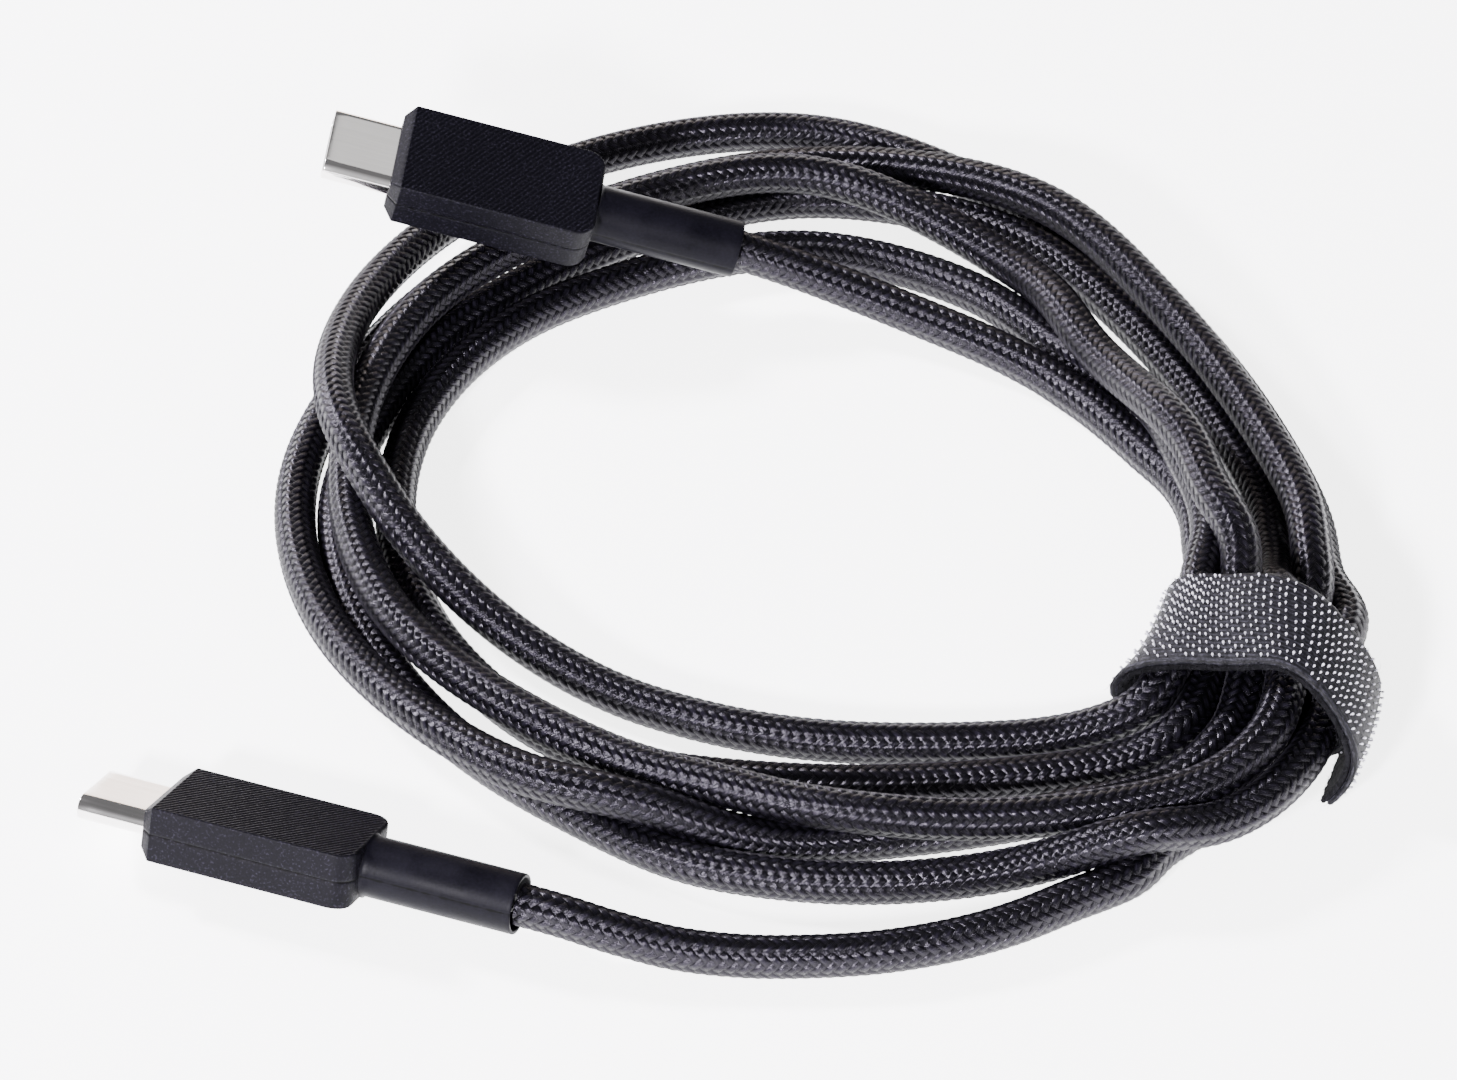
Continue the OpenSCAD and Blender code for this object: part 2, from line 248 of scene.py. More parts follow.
def grid_object(name, grid, close_u=False, uv=None, uv_name="UVMap", caps=False):
    """A mesh from a grid of points, rows by columns; close_u joins the last column to the first."""
    rows, columns = grid.shape[:2]
    across = columns if close_u else columns - 1
    i = np.repeat(np.arange(rows - 1), across)
    j = np.tile(np.arange(across), rows - 1)
    k = (j + 1) % columns
    quads = np.stack([i * columns + j, i * columns + k, (i + 1) * columns + k, (i + 1) * columns + j], 1)
    mesh = bpy.data.meshes.new(name)
    mesh.vertices.add(rows * columns)
    mesh.vertices.foreach_set("co", grid.reshape(-1, 3).astype(np.float32).ravel())
    loops = quads.ravel()
    starts = np.arange(len(quads)) * 4
    totals = np.full(len(quads), 4)
    if caps:
        first = np.arange(columns)[::-1]
        last = (rows - 1) * columns + np.arange(columns)
        loops = np.concatenate([loops, first, last])
        starts = np.concatenate([starts, [len(quads) * 4, len(quads) * 4 + columns]])
        totals = np.concatenate([totals, [columns, columns]])
    mesh.loops.add(len(loops))
    mesh.loops.foreach_set("vertex_index", loops.astype(np.int32))
    mesh.polygons.add(len(starts))
    mesh.polygons.foreach_set("loop_start", starts.astype(np.int32))
    mesh.polygons.foreach_set("loop_total", totals.astype(np.int32))
    mesh.polygons.foreach_set("use_smooth", np.arange(len(starts)) < len(quads))
    if uv is not None:
        u, v = uv
        corner_u = np.stack([j, j + 1, j + 1, j], 1)
        corner_v = np.stack([i, i, i + 1, i + 1], 1)
        values = np.stack([u[corner_u], v[corner_v]], 2).reshape(-1, 2)
        if caps:
            values = np.vstack([values, np.zeros((2 * columns, 2))])
        layer = mesh.uv_layers.new(name=uv_name)
        layer.data.foreach_set("uv", values.astype(np.float32).ravel())
    mesh.update(calc_edges=True)
    mesh.validate()
    obj = bpy.data.objects.new(name, mesh)
    bpy.context.scene.collection.objects.link(obj)
    return obj


def frames_along(points):
    """Tangent and two sideways directions at each point, turning as little as they can."""
    tangent = np.gradient(points, axis=0)
    tangent /= np.linalg.norm(tangent, axis=1)[:, None]
    side = np.zeros_like(points)
    current = np.cross(tangent[0], (0, 0, 1))
    for i, t in enumerate(tangent):
        current = current - t * (current @ t)
        current = current / np.linalg.norm(current)
        side[i] = current
    return tangent, side, np.cross(tangent, side)


# ---------------------------------------------------------------- material helpers


def material(name, color, roughness, metallic=0.0, **inputs):
    """A Principled material; color and the other values sit on the shader's own sockets."""
    made = bpy.data.materials.new(name)
    made.use_nodes = True
    shader = made.node_tree.nodes["Principled BSDF"]
    shader.inputs["Base Color"].default_value = (*color, 1)
    shader.inputs["Roughness"].default_value = roughness
    shader.inputs["Metallic"].default_value = metallic
    for key, value in inputs.items():
        shader.inputs[key.replace("_", " ")].default_value = value
    return made, made.node_tree, shader


def calc(tree, operation, a, b=None):
    """A Math node's result; a and b are numbers or sockets."""
    node = tree.nodes.new("ShaderNodeMath")
    node.operation = operation
    for socket, value in zip(node.inputs, (a, b)):
        if value is None:
            continue
        if isinstance(value, (int, float)):
            socket.default_value = value
        else:
            tree.links.new(value, socket)
    return node.outputs[0]


def pick(tree, switch, off, on):
    """off where switch is 0 and on where it is 1."""
    return calc(tree, "ADD", off, calc(tree, "MULTIPLY", switch, calc(tree, "SUBTRACT", on, off)))


def combine(tree, x, y, z):
    """A vector from three numbers or sockets."""
    node = tree.nodes.new("ShaderNodeCombineXYZ")
    for socket, value in zip(node.inputs, (x, y, z)):
        if isinstance(value, (int, float)):
            socket.default_value = value
        else:
            tree.links.new(value, socket)
    return node.outputs[0]


def noise(tree, vector, scale, detail=2.0, rough=0.5):
    """Cloudy noise round 0.5."""
    node = tree.nodes.new("ShaderNodeTexNoise")
    node.inputs["Scale"].default_value = scale
    node.inputs["Detail"].default_value = detail
    node.inputs["Roughness"].default_value = rough
    tree.links.new(vector, node.inputs["Vector"])
    return node.outputs["Fac"]


def ramp(tree, value, stops):
    """A colour from a value, through (place, color) stops."""
    node = tree.nodes.new("ShaderNodeValToRGB")
    elements = node.color_ramp.elements
    while len(elements) < len(stops):
        elements.new(0.5)
    for element, (place, color) in zip(elements, stops):
        element.position = place
        element.color = (*color, 1)
    tree.links.new(value, node.inputs["Fac"])
    return node.outputs["Color"]


def spread(tree, value, low, high, to_low, to_high):
    """The value's stretch from low to high, mapped to another stretch."""
    node = tree.nodes.new("ShaderNodeMapRange")
    tree.links.new(value, node.inputs["Value"])
    for key, number in zip(("From Min", "From Max", "To Min", "To Max"), (low, high, to_low, to_high)):
        node.inputs[key].default_value = number
    return node.outputs["Result"]


def bump(tree, shader, height, distance, strength):
    """Lets the height tilt the shader's normal."""
    node = tree.nodes.new("ShaderNodeBump")
    node.inputs["Distance"].default_value = distance
    node.inputs["Strength"].default_value = strength
    tree.links.new(height, node.inputs["Height"])
    tree.links.new(node.outputs["Normal"], shader.inputs["Normal"])


def object_place(tree):
    """The place on the object, in its own axes."""
    return tree.nodes.new("ShaderNodeTexCoord").outputs["Object"]


def uv_parts(tree, name):
    """The two coordinates of a UV layer."""
    node = tree.nodes.new("ShaderNodeUVMap")
    node.uv_map = name
    parts = tree.nodes.new("ShaderNodeSeparateXYZ")
    tree.links.new(node.outputs["UV"], parts.inputs["Vector"])
    return parts.outputs["X"], parts.outputs["Y"]


# ---------------------------------------------------------------- the braid

# Twelve yarns go round each way, each over two and under two of the others.
YARNS = 12
YARN_PITCH = 1.05 * MM
BRAID_SIDES = 48
BRAID_STEP = YARN_PITCH / 6
BRAID_RISE = 0.14 * MM


def braid_height(around, run):
    """Height of the yarn on top, from 0 in the gaps to 1; around is 0 to 1 and run is in yarn pitches."""
    p = YARNS * around - run
    q = YARNS * around + run
    first, second = np.floor(p), np.floor(q)
    rightward = (first + second) % 4 < 2
    across = np.where(rightward, p - first, q - second)
    along = np.where(rightward, (first + q) % 4 / 2, (p + second) % 4 / 2 - 1)
    along = np.clip(along, 0, 1)
    return (1 - 0.6 * np.abs(2 * across - 1) ** 3) * np.sin(np.pi * along) ** 0.65


def braid_material():
    """Charcoal yarn of many filaments, laid as braid_height lays it, with painted shade that darkens it
    towards the yarns' edges and the gaps between them.
    """
    made, tree, shader = material("braid", (0.012, 0.011, 0.0145), 0.34, IOR=1.3)
    shader.inputs["Specular Tint"].default_value = (0.9, 0.84, 1, 1)
    u, v = uv_parts(tree, "braid")
    u12 = calc(tree, "MULTIPLY", u, YARNS)
    p = calc(tree, "SUBTRACT", u12, v)
    q = calc(tree, "ADD", u12, v)
    first = calc(tree, "FLOOR", p)
    second = calc(tree, "FLOOR", q)
    column = calc(tree, "FLOORED_MODULO", calc(tree, "ADD", first, second), 4.0)
    rightward = calc(tree, "LESS_THAN", column, 1.5)
    across = pick(tree, rightward, calc(tree, "FRACT", q), calc(tree, "FRACT", p))
    right_run = calc(tree, "DIVIDE", calc(tree, "FLOORED_MODULO", calc(tree, "ADD", first, q), 4.0), 2.0)
    left_run = calc(tree, "DIVIDE", calc(tree, "FLOORED_MODULO", calc(tree, "ADD", p, second), 4.0), 2.0)
    along = pick(tree, rightward, calc(tree, "SUBTRACT", left_run, 1.0), right_run)
    yarn = pick(tree, rightward, calc(tree, "ADD", second, 40.0), first)
    edge = calc(tree, "ABSOLUTE", calc(tree, "SUBTRACT", calc(tree, "MULTIPLY", across, 2.0), 1.0))
    body = calc(tree, "SUBTRACT", 1.0, calc(tree, "POWER", edge, 3.0))
    arch = calc(tree, "SINE", calc(tree, "MULTIPLY", along, math.pi))
    height = calc(tree, "MULTIPLY", body, calc(tree, "POWER", calc(tree, "MAXIMUM", arch, 0.0), 0.65))
    fibre_across = calc(tree, "MULTIPLY", across, 11.0)
    fibre_along = calc(tree, "MULTIPLY", along, 1.1)
    fibre = noise(tree, combine(tree, fibre_across, fibre_along, yarn), 1.0, 3.0, 0.65)
    stray = noise(tree, combine(tree, u12, v, 0.0), 0.35, 2.0)
    shade = calc(tree, "MULTIPLY", height, spread(tree, fibre, 0.32, 0.68, 0.25, 1.05))
    shade = calc(tree, "MULTIPLY", shade, spread(tree, stray, 0.3, 0.7, 0.75, 1.1))
    # Painted shade: the tone follows the yarn height, so it falls nearly to black at the yarns' edges and
    # in the gaps between them; the fibre and stray noise vary it at random.
    tones = [
        (0.0, (0.0003, 0.0003, 0.0004)),
        (0.45, (0.0018, 0.0016, 0.0025)),
        (1.0, (0.0125, 0.0108, 0.0172)),
    ]
    tree.links.new(ramp(tree, shade, tones), shader.inputs["Base Color"])
    facing = tree.nodes.new("ShaderNodeLayerWeight")
    facing.inputs["Blend"].default_value = 0.5
    grazing = calc(tree, "MULTIPLY", calc(tree, "POWER", facing.outputs["Facing"], 3.0), 0.6)
    rough = calc(tree, "ADD", spread(tree, fibre, 0.3, 0.7, 0.34, 0.18), grazing)
    tree.links.new(rough, shader.inputs["Roughness"])
    tangent = tree.nodes.new("ShaderNodeTangent")
    tangent.direction_type = "UV_MAP"
    tangent.uv_map = "braid"
    tree.links.new(tangent.outputs["Tangent"], shader.inputs["Tangent"])
    shader.inputs["Anisotropic"].default_value = 0.75
    tree.links.new(pick(tree, rightward, 0.125, 0.875), shader.inputs["Anisotropic Rotation"])
    relief = calc(tree, "ADD", calc(tree, "MULTIPLY", height, 0.55), calc(tree, "MULTIPLY", fibre, 0.3))
    bump(tree, shader, relief, 0.17 * MM, 0.9)
    return made


def braid_piece(name, points, run, frames):
    """The braid over one stretch of the cable."""
    _, side, up = frames
    around = np.arange(BRAID_SIDES) / BRAID_SIDES
    pitches = run / YARN_PITCH
    height = braid_height(around[None, :], pitches[:, None])
    radius = CABLE_R - BRAID_RISE + BRAID_RISE * height
    a = 2 * np.pi * around
    grid = points[:, None] + radius[..., None] * (
        np.cos(a)[None, :, None] * side[:, None] + np.sin(a)[None, :, None] * up[:, None]
    )
    uv = (np.arange(BRAID_SIDES + 1) / BRAID_SIDES, pitches)
    return grid_object(name, grid, close_u=True, uv=uv, uv_name="braid")


def tube(name, points, radius, sides):
    """A closed round tube along the points."""
    _, side, up = frames_along(points)
    a = 2 * np.pi * np.arange(sides) / sides
    grid = points[:, None] + radius * (
        np.cos(a)[None, :, None] * side[:, None] + np.sin(a)[None, :, None] * up[:, None]
    )
    return grid_object(name, grid, close_u=True, caps=True)


def tie_crossings(points):
    """Where the cable passes through the tie, as indices into its points."""
    along = np.array(JOINTS["tie_slide"]["axis"])
    offset = (points - tie_centre()) @ along
    near = np.linalg.norm(points[:, :2] - tie_centre()[:2], axis=1) < 15 * MM
    change = np.sign(offset[:-1]) != np.sign(offset[1:])
    return [int(i) for i in np.nonzero(change & near[:-1])[0]]


BEND_RUN = 20 * MM
cable_points, cable_run = even_steps(centreline, BRAID_STEP)
cable_frames = frames_along(cable_points)
cuts = [0, *tie_crossings(cable_points), len(cable_points) - 1]
BRAID = braid_material()
braids = []
for k in range(len(cuts) - 1):
    if k == 0:
        name = "braid_tail_1"
    elif k == len(cuts) - 2:
        name = "braid_tail_2"
    else:
        name = "braid_turn_%d" % k
    part = slice(cuts[k], cuts[k + 1] + 1)
    piece = braid_piece(name, cable_points[part], cable_run[part], [f[part] for f in cable_frames])
    piece.data.materials.append(BRAID)
    braids.append(piece)

# ---------------------------------------------------------------- plugs


def plug_matrix(n):
    """From plug n's own axes, with its boot's mouth at the origin, to the frame."""
    roll, pitch, heading = (math.radians(a) for a in PLUG_TURNS[n])
    joint = JOINTS["plug_1_bend" if n == 1 else "plug_2_lift"]
    return Matrix.Translation(joint["pos_m"]) @ Euler((roll, pitch, heading)).to_matrix().to_4x4()


def profile_ring(half_w, half_t, radius, across, upright):
    """Points round a rounded rectangle: so many samples on the flat faces and on the sides."""
    ring = []
    flat = np.linspace(-1, 1, across)
    below = np.linspace(-0.92, -0.03, upright)
    above = np.linspace(0.03, 0.92, upright)
    wall = np.concatenate([[-1], below, [0], above, [1]])
    corner = np.radians([18, 36, 54, 72])
    w, t = half_w - radius, half_t - radius
    ring += [(x * w, half_t) for x in flat[::-1]]
    ring += [(-w - radius * math.sin(a), t + radius * math.cos(a)) for a in corner]
    ring += [(-half_w, z * t) for z in wall[::-1]]
    ring += [(-w - radius * math.cos(a), -t - radius * math.sin(a)) for a in corner]
    ring += [(x * w, -half_t) for x in flat]
    ring += [(w + radius * math.sin(a), -t - radius * math.cos(a)) for a in corner]
    ring += [(half_w, z * t) for z in wall]
    ring += [(w + radius * math.cos(a), t + radius * math.sin(a)) for a in corner]
    return np.array(ring)


RIB_PITCH = 0.44 * MM
RIB_DEPTH = 0.09 * MM
RIB_ANGLE = math.radians(55)
HOUSING_GROOVE = 0.1 * MM
BOOT_GROOVE = 0.05 * MM


def rib_cut(x, y):
    """Depth of the ribbing at a place on the top or bottom face."""
    place = (x * math.sin(RIB_ANGLE) - y * math.cos(RIB_ANGLE)) / RIB_PITCH
    wave = 0.5 - 0.5 * np.cos(2 * np.pi * place)
    return RIB_DEPTH * wave**1.3


def stadium_point(angle, width, thickness):
    """Where a ray at that angle from the middle meets a stadium."""
    flat = (width - thickness) / 2
    r = thickness / 2
    c, s = math.cos(angle), math.sin(angle)
    if abs(c) * r <= flat * abs(s):
        return (r * c / abs(s), math.copysign(r, s))
    cx = math.copysign(flat, c)
    b = cx * c
    reach = b + math.sqrt(max(b * b - flat * flat + r * r, 0))
    return (reach * c, reach * s)


def housing_mesh(name):
    """The moulding, lofted along X, with its ribs, bevels, mould lines and front opening."""
    x0, x1 = BOOT_L, HOUSING_X1
    ease = 0.35 * MM
    stations = list(x0 + ease * (1 - np.cos(np.radians([0, 30, 60, 90]))))
    stations += list(np.arange(x0 + 0.5 * MM, x1 - FRONT_BEVEL - 0.05 * MM, 0.1 * MM))
    stations += [x1 - FRONT_BEVEL - 0.03 * MM, x1 - FRONT_BEVEL + 0.05 * MM]
    stations += [x1 - 0.6 * MM, x1 - 0.3 * MM, x1 - 0.05 * MM, x1]
    rows = []
    for x in stations:
        behind = min(x - x0, REAR_CORNER_R)
        half_w = HOUSING_W / 2 - REAR_CORNER_R + math.sqrt(REAR_CORNER_R**2 - (REAR_CORNER_R - behind) ** 2)
        back = min(x - x0, ease)
        half_t = HOUSING_T / 2 - ease + math.sqrt(max(ease**2 - (ease - back) ** 2, 0))
        bevel = max(0, x - (x1 - FRONT_BEVEL)) / FRONT_BEVEL
        half_w -= 0.9 * MM * bevel
        half_t -= 0.8 * MM * bevel
        ring = profile_ring(half_w, half_t, 0.22 * MM, 110, 9)
        y, z = ring[:, 0].copy(), ring[:, 1].copy()
        from_edge = np.clip((half_w - 0.1 * MM - np.abs(y)) / (0.15 * MM), 0, 1)
        on_face = (np.abs(z) > half_t - 0.02 * MM) * from_edge
        from_back = np.clip((x - x0 - 0.3 * MM) / (0.2 * MM), 0, 1)
        from_bevel = np.clip((x1 - FRONT_BEVEL - x) / (0.1 * MM), 0, 1)
        z -= np.sign(z) * rib_cut(x, y) * on_face * (from_back * from_bevel)
        on_side = (np.abs(y) > half_w - 0.01 * MM) & (np.abs(z) < 0.01 * MM)
        y -= np.sign(y) * np.where(on_side, HOUSING_GROOVE, 0)
        rows.append(np.stack([np.full(len(y), x), y, z], 1))
    rim = rows[-1]
    angles = np.arctan2(rim[:, 2] * (SHELL_W / SHELL_T) ** 0.5, rim[:, 1])
    for x, grow in ((x1, 0.24 * MM), (x1 - 0.12 * MM, 0.1 * MM), (x1 - 1 * MM, 0.1 * MM)):
        hole = np.array([stadium_point(a, SHELL_W + grow, SHELL_T + grow) for a in angles])
        rows.append(np.column_stack([np.full(len(hole), x), hole]))
    back = rows[0].copy()
    back[:, 1:] *= 0.45
    grid = np.array([back, *rows])
    return grid_object(name, grid, close_u=True)


def revolve(name, profile, groove):
    """A turned shape about X from (x, radius) pairs, with a mould line at each side."""
    sides = 96
    a = 2 * np.pi * np.arange(sides) / sides
    line = np.where((np.arange(sides) % (sides // 2)) == 0, groove, 0)
    rows = []
    for x, r in profile:
        deep = line if r > BOOT_R - 0.05 * MM else 0 * line
        rows.append(np.stack([np.full(sides, x), (r - deep) * np.cos(a), (r - deep) * np.sin(a)], 1))
    return grid_object(name, np.array(rows), close_u=True)


def boot_mesh(name):
    """The round boot, with its open mouth and the start of its bore."""
    lip = 0.12 * MM
    profile = [(6 * MM, BORE_R), (MOUTH_DEPTH, BORE_R), (MOUTH_DEPTH, MOUTH_R), (lip, MOUTH_R)]
    profile += [(0.02 * MM, MOUTH_R + lip / 2), (0, MOUTH_R + lip)]
    profile += [(0.03 * MM, BOOT_R - lip / 3), (lip, BOOT_R)]
    profile += [(x, BOOT_R) for x in np.linspace(0.4 * MM, BOOT_L - 0.3 * MM, 40)]
    profile += [(BOOT_L - 0.1 * MM, BOOT_R + 0.06 * MM), (BOOT_L + 0.05 * MM, BOOT_R + 0.2 * MM)]
    return revolve(name, profile, groove=BOOT_GROOVE)


def shell_mesh(name):
    """The drawn steel shell, with a rolled lip at the tip."""
    sides = 160
    angles = []
    for k in range(sides):
        t = 2 * math.pi * k / sides
        angles.append(math.atan2(math.sin(t) * 0.42, math.cos(t)))
    lip = 0.14 * MM
    profile = [(HOUSING_X1 - SHELL_IN, 0)]
    profile += [(x, 0) for x in np.linspace(HOUSING_X1 - 1 * MM, TIP_X - lip, 8)]
    for a in np.radians([20, 45, 70, 90]):
        profile.append((TIP_X - lip * (1 - math.sin(a)), lip * (1 - math.cos(a))))
    for a in np.radians([60, 20]):
        profile.append((TIP_X - lip * (1 - math.sin(a)), 2 * SHELL_WALL - lip * (1 - math.cos(a)) - lip))
    profile += [(TIP_X - 1 * MM, SHELL_WALL), (HOUSING_X1 - SHELL_IN, SHELL_WALL)]
    rows = []
    for x, inset in profile:
        ring = np.array([stadium_point(a, SHELL_W - 2 * inset, SHELL_T - 2 * inset) for a in angles])
        rows.append(np.column_stack([np.full(len(ring), x), ring]))
    return grid_object(name, np.array(rows), close_u=True)


def mould_line(tree, place, shade):
    """The shade, darkened along the broken line where the two halves of the mould met."""
    parts = tree.nodes.new("ShaderNodeSeparateXYZ")
    tree.links.new(place, parts.inputs["Vector"])
    across = calc(tree, "ABSOLUTE", parts.outputs["Z"])
    along = noise(tree, combine(tree, parts.outputs["X"], 0.0, 0.0), 900, 1.0)
    reach = spread(tree, along, 0.4, 0.6, 0.02 * MM, 0.11 * MM)
    return calc(tree, "MULTIPLY", shade, calc(tree, "GREATER_THAN", across, reach))


def housing_material():
    """Near-black moulded plastic: satin and finely speckled, with a mould line at each side."""
    made, tree, shader = material("housing", (0.004, 0.004, 0.006), 0.5, IOR=1.16)
    place = object_place(tree)
    grain = noise(tree, place, 5200, 2.0)
    speck = noise(tree, place, 4200, 1.5)
    broad = noise(tree, place, 90, 2.0)
    fleck = spread(tree, speck, 0.50, 0.72, 0.0, 1.0)
    shade = calc(tree, "ADD", calc(tree, "MULTIPLY", fleck, 0.55), calc(tree, "MULTIPLY", broad, 0.3))
    shade = mould_line(tree, place, calc(tree, "ADD", shade, 0.12))
    tones = [
        (0.05, (0.0002, 0.0002, 0.0004)),
        (0.14, (0.001, 0.0009, 0.0018)),
        (0.5, (0.0028, 0.0025, 0.0046)),
        (1.0, (0.016, 0.0145, 0.0225)),
    ]
    tree.links.new(ramp(tree, shade, tones), shader.inputs["Base Color"])
    tree.links.new(spread(tree, grain, 0.3, 0.7, 0.42, 0.62), shader.inputs["Roughness"])
    bump(tree, shader, grain, 0.03 * MM, 0.6)
    return made


def boot_material():
    """Near-black soft plastic, a little smoother than the housing."""
    made, tree, shader = material("boot", (0.003, 0.003, 0.0045), 0.46, IOR=1.14)
    place = object_place(tree)
    grain = noise(tree, place, 4200, 2.0)
    broad = noise(tree, place, 300, 3.0)
    shade = calc(tree, "ADD", calc(tree, "MULTIPLY", grain, 0.5), calc(tree, "MULTIPLY", broad, 0.5))
    shade = mould_line(tree, place, shade)
    tones = [
        (0.0, (0.0002, 0.0002, 0.0003)),
        (0.3, (0.0012, 0.0011, 0.002)),
        (0.75, (0.0042, 0.0038, 0.0066)),
    ]
    tree.links.new(ramp(tree, shade, tones), shader.inputs["Base Color"])
    tree.links.new(spread(tree, broad, 0.3, 0.7, 0.36, 0.52), shader.inputs["Roughness"])
    bump(tree, shader, grain, 0.02 * MM, 0.5)
    return made


def steel_material(name="steel", tone=(0.78, 0.755, 0.74), polish=0.1, lines=(60, 4000, 4000)):
    """Drawn steel: faint lines along the draw and a little uneven polish."""
    made, tree, shader = material(name, tone, polish, metallic=1.0)
    place = object_place(tree)
    mapping = tree.nodes.new("ShaderNodeMapping")
    mapping.inputs["Scale"].default_value = lines
    tree.links.new(place, mapping.inputs["Vector"])
    drawn = noise(tree, mapping.outputs["Vector"], 1.0, 3.0)
    cloud = noise(tree, place, 260, 3.0)
    mixed = calc(tree, "ADD", calc(tree, "MULTIPLY", drawn, 0.6), calc(tree, "MULTIPLY", cloud, 0.4))
    tree.links.new(spread(tree, mixed, 0.3, 0.7, polish * 0.7, polish * 1.7), shader.inputs["Roughness"])
    low = tuple(c * 0.86 for c in tone)
    tree.links.new(ramp(tree, mixed, [(0.3, low), (0.7, tone)]), shader.inputs["Base Color"])
    bump(tree, shader, drawn, 0.004 * MM, 0.35)
    return made


def grained_material(name, dark, light, roughness, scale, metallic=0.0, depth=0.01 * MM):
    """A plain moulded or cast surface with fine grain and slight unevenness of tone."""
    made, tree, shader = material(name, light, roughness, metallic=metallic)
    place = object_place(tree)
    grain = noise(tree, place, scale, 3.0)
    tree.links.new(ramp(tree, grain, [(0.3, dark), (0.7, light)]), shader.inputs["Base Color"])
    rough = spread(tree, grain, 0.3, 0.7, roughness * 0.8, roughness * 1.2)
    tree.links.new(rough, shader.inputs["Roughness"])
    bump(tree, shader, grain, depth, 0.5)
    return made


def paint(node, look):
    """Gives a carried-over CAD node its material."""
    mesh = frame["nodes"][node].data
    mesh.materials.clear()
    mesh.materials.append(look)


def in_plug(obj, n, node, look):
    """Sets a piece in plug n, in place of that plug's plain node."""
    obj.matrix_world = plug_matrix(n)
    obj.data.materials.append(look)
    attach(obj, "plug_%d" % n)
    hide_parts("%s_%d" % (node, n))
    return obj


HOUSING = housing_material()
BOOT = boot_material()
STEEL = steel_material()
STAMPED = steel_material("stamped_steel", (0.62, 0.62, 0.64), 0.3, (900, 900, 900))
GOLD = grained_material("contact_gold", (0.7, 0.46, 0.16), (0.86, 0.62, 0.26), 0.22, 3000, 1.0, 0.002 * MM)
INSULATOR = grained_material("insulator", (0.012, 0.012, 0.013), (0.03, 0.03, 0.032), 0.45, 2500)
INNER = {
    "insulator": INSULATOR,
    "contacts_upper": GOLD,
    "contacts_lower": GOLD,
    "latch_plate": STAMPED,
    "ground_springs": STAMPED,
    "shield_upper": STAMPED,
    "shield_lower": STAMPED,
    "cable_crimp": STAMPED,
    "circuit_board": grained_material("board", (0.012, 0.09, 0.04), (0.02, 0.16, 0.075), 0.3, 1500),
    "marker_chip": grained_material("chip", (0.01, 0.01, 0.011), (0.03, 0.03, 0.032), 0.5, 3500),
    "capacitors": grained_material("ceramic", (0.3, 0.19, 0.1), (0.48, 0.34, 0.2), 0.4, 3000),
    "wires": grained_material("insulation", (0.3, 0.02, 0.02), (0.55, 0.05, 0.045), 0.35, 1200),
    "inner_mould": grained_material("inner_mould", (0.07, 0.07, 0.075), (0.13, 0.13, 0.135), 0.5, 900),
    "cable_end": grained_material(
        "yarn_end", (0.01, 0.01, 0.012), (0.06, 0.056, 0.068), 0.5, 4000, depth=0.05 * MM
    ),
}

plug_pieces = []
for n in (1, 2):
    plug_pieces += [
        in_plug(housing_mesh("plug_housing_%d" % n), n, "housing", HOUSING),
        in_plug(boot_mesh("plug_boot_%d" % n), n, "boot", BOOT),
        in_plug(shell_mesh("plug_shell_%d" % n), n, "steel_shell", STEEL),
    ]
    for node, look in INNER.items():
        paint("%s_%d" % (node, n), look)

# ---------------------------------------------------------------- tie

TIE_ALONG = np.array(JOINTS["tie_slide"]["axis"])
TIE_ACROSS = np.array([TIE_ALONG[1], -TIE_ALONG[0], 0])
TIE_UP = np.array([0, 0, 1.0])
TIE_MIDDLE = tie_centre() * (1, 1, 0)
# The strip presses this far into the strands it holds.
SLACK = -0.15 * MM
# Hook heads stand in pairs along staggered rows; a half step is free between two pairs.
HEAD_ROW = 0.5 * MM
HEAD_STEP = 2.1 * MM
HEAD_PAIR = 0.28 * MM
HEAD_R = 0.118 * MM
# How far above the peel hinge the strip must lie where the tie ends and its free end begins.
PEEL_FOLD = 2.5 * MM
# Degrees round the bundle where the strip starts and where it leaves it.
TIE_START = 20
TIE_LEAVES = -358
FIBRES_PER_MM = 26
FIBRE_LENGTH = 0.6 * MM


def strands_through(v):
    """Across and height, in the tie's own frame, of each turn of cable where it passes v."""
    rel = cable_points - TIE_MIDDLE
    along, across, up = rel @ TIE_ALONG, rel @ TIE_ACROSS, rel @ TIE_UP
    passes = np.sign(along[:-1] - v) != np.sign(along[1:] - v)
    i = np.nonzero(passes & (np.abs(across[:-1]) < 14 * MM))[0]
    return np.stack([across[i], up[i]], 1)


def smooth_round(values, width):
    """A closed row of values averaged with its neighbours, width entries to each side."""
    weights = np.exp(-0.5 * (np.arange(-3 * width, 3 * width + 1) / width) ** 2)
    weights /= weights.sum()
    padded = np.concatenate([values[-3 * width :], values, values[: 3 * width]])
    return np.convolve(padded, weights, "valid")


def reach_of(v):
    """How far the bundle of cable reaches in each direction round it, in whole degrees."""
    a = np.radians(np.arange(360))
    ends = strands_through(v) @ np.stack([np.cos(a), np.sin(a)])
    reach = ends.max(0) + CABLE_R + SLACK
    rounded = smooth_round(reach, 11)
    return rounded + 0.5 * max(0, (reach - rounded).max())


